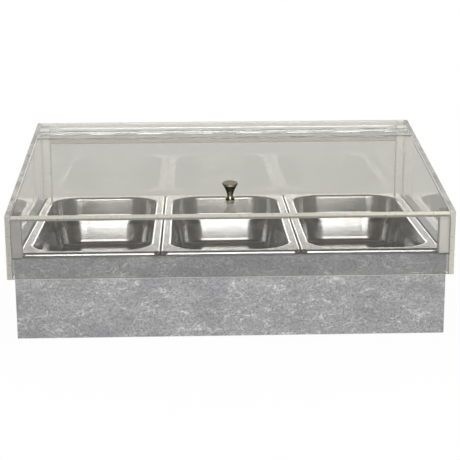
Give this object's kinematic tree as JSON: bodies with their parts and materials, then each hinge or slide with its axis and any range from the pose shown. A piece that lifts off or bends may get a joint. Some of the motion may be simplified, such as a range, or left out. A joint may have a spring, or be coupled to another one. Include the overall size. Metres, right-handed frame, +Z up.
{
  "type": "gastronorm cooling box",
  "caption": "Counter-top cooling box: steel gastronorm pans over cool packs in a stone-laminate box, under a clear lift-off hood with a sloping hinged lid and a small knob.",
  "frame": {"origin": "on the floor under the middle of the box and its hood", "axes": "+Z up, front towards -Y, +X to the right along the row of pans"},
  "size_m": [0.5556, 0.365, 0.2233],
  "materials": {
    "stone_laminate": "matt stone print",
    "floor_board": "sealed board",
    "insulation_foam": "closed-cell foam",
    "cool_pack": "moulded",
    "cool_pack_cap": "moulded",
    "pan_steel": "satin, pressed",
    "foot_rubber": "moulded",
    "screw_steel": "zinc plated",
    "clear_acrylic": "polished, clear",
    "clear_hinge": "extruded, clear",
    "hinge_pin": "drawn, clear",
    "knob_steel": "turned",
    "washer_nylon": "natural"
  },
  "bodies": {
    "base": {"base_front_panel": "stone_laminate", "base_back_panel": "stone_laminate", "base_left_panel": "stone_laminate", "base_right_panel": "stone_laminate", "base_floor_panel": "floor_board", "floor_insulation": "insulation_foam", "rubber_feet": "foot_rubber", "foot_screws": "screw_steel", "cool_pack_left": "cool_pack", "cool_pack_middle": "cool_pack", "cool_pack_right": "cool_pack", "cool_pack_left_cap": "cool_pack_cap", "cool_pack_middle_cap": "cool_pack_cap", "cool_pack_right_cap": "cool_pack_cap"},
    "pan_left": {"pan_left": "pan_steel"},
    "pan_middle": {"pan_middle": "pan_steel"},
    "pan_right": {"pan_right": "pan_steel"},
    "hood": {"hood_left_side": "clear_acrylic", "hood_right_side": "clear_acrylic", "hood_front_panel": "clear_acrylic", "hood_back_panel": "clear_acrylic", "hood_top_strip": "clear_acrylic", "hood_rear_rail": "clear_acrylic", "front_bar_left": "clear_acrylic", "front_bar_right": "clear_acrylic", "rear_bar_left": "clear_acrylic", "rear_bar_right": "clear_acrylic", "hinge_fixed_leaf": "clear_hinge", "hinge_pin": "hinge_pin"},
    "lid": {"lid_panel": "clear_acrylic", "hinge_moving_leaf": "clear_hinge", "lid_knob": "knob_steel", "knob_screw": "screw_steel", "knob_washer": "washer_nylon"}
  },
  "joints": [
    {"name": "pan_left_lift", "type": "slide", "parent": "base", "child": "pan_left", "axis": [0, 0, 1], "range_m": [0, 0.04]},
    {"name": "pan_middle_lift", "type": "slide", "parent": "base", "child": "pan_middle", "axis": [0, 0, 1], "range_m": [0, 0.04]},
    {"name": "pan_right_lift", "type": "slide", "parent": "base", "child": "pan_right", "axis": [0, 0, 1], "range_m": [0, 0.04]},
    {"name": "hood_lift", "type": "slide", "parent": "base", "child": "hood", "axis": [0, 0, 1], "range_m": [0, 0.15]},
    {"name": "lid_hinge", "type": "hinge", "parent": "hood", "child": "lid", "pos_m": [0, 0.12781, 0.21701], "axis": [-1, 0, 0], "range_deg": [0, 180]}
  ]
}
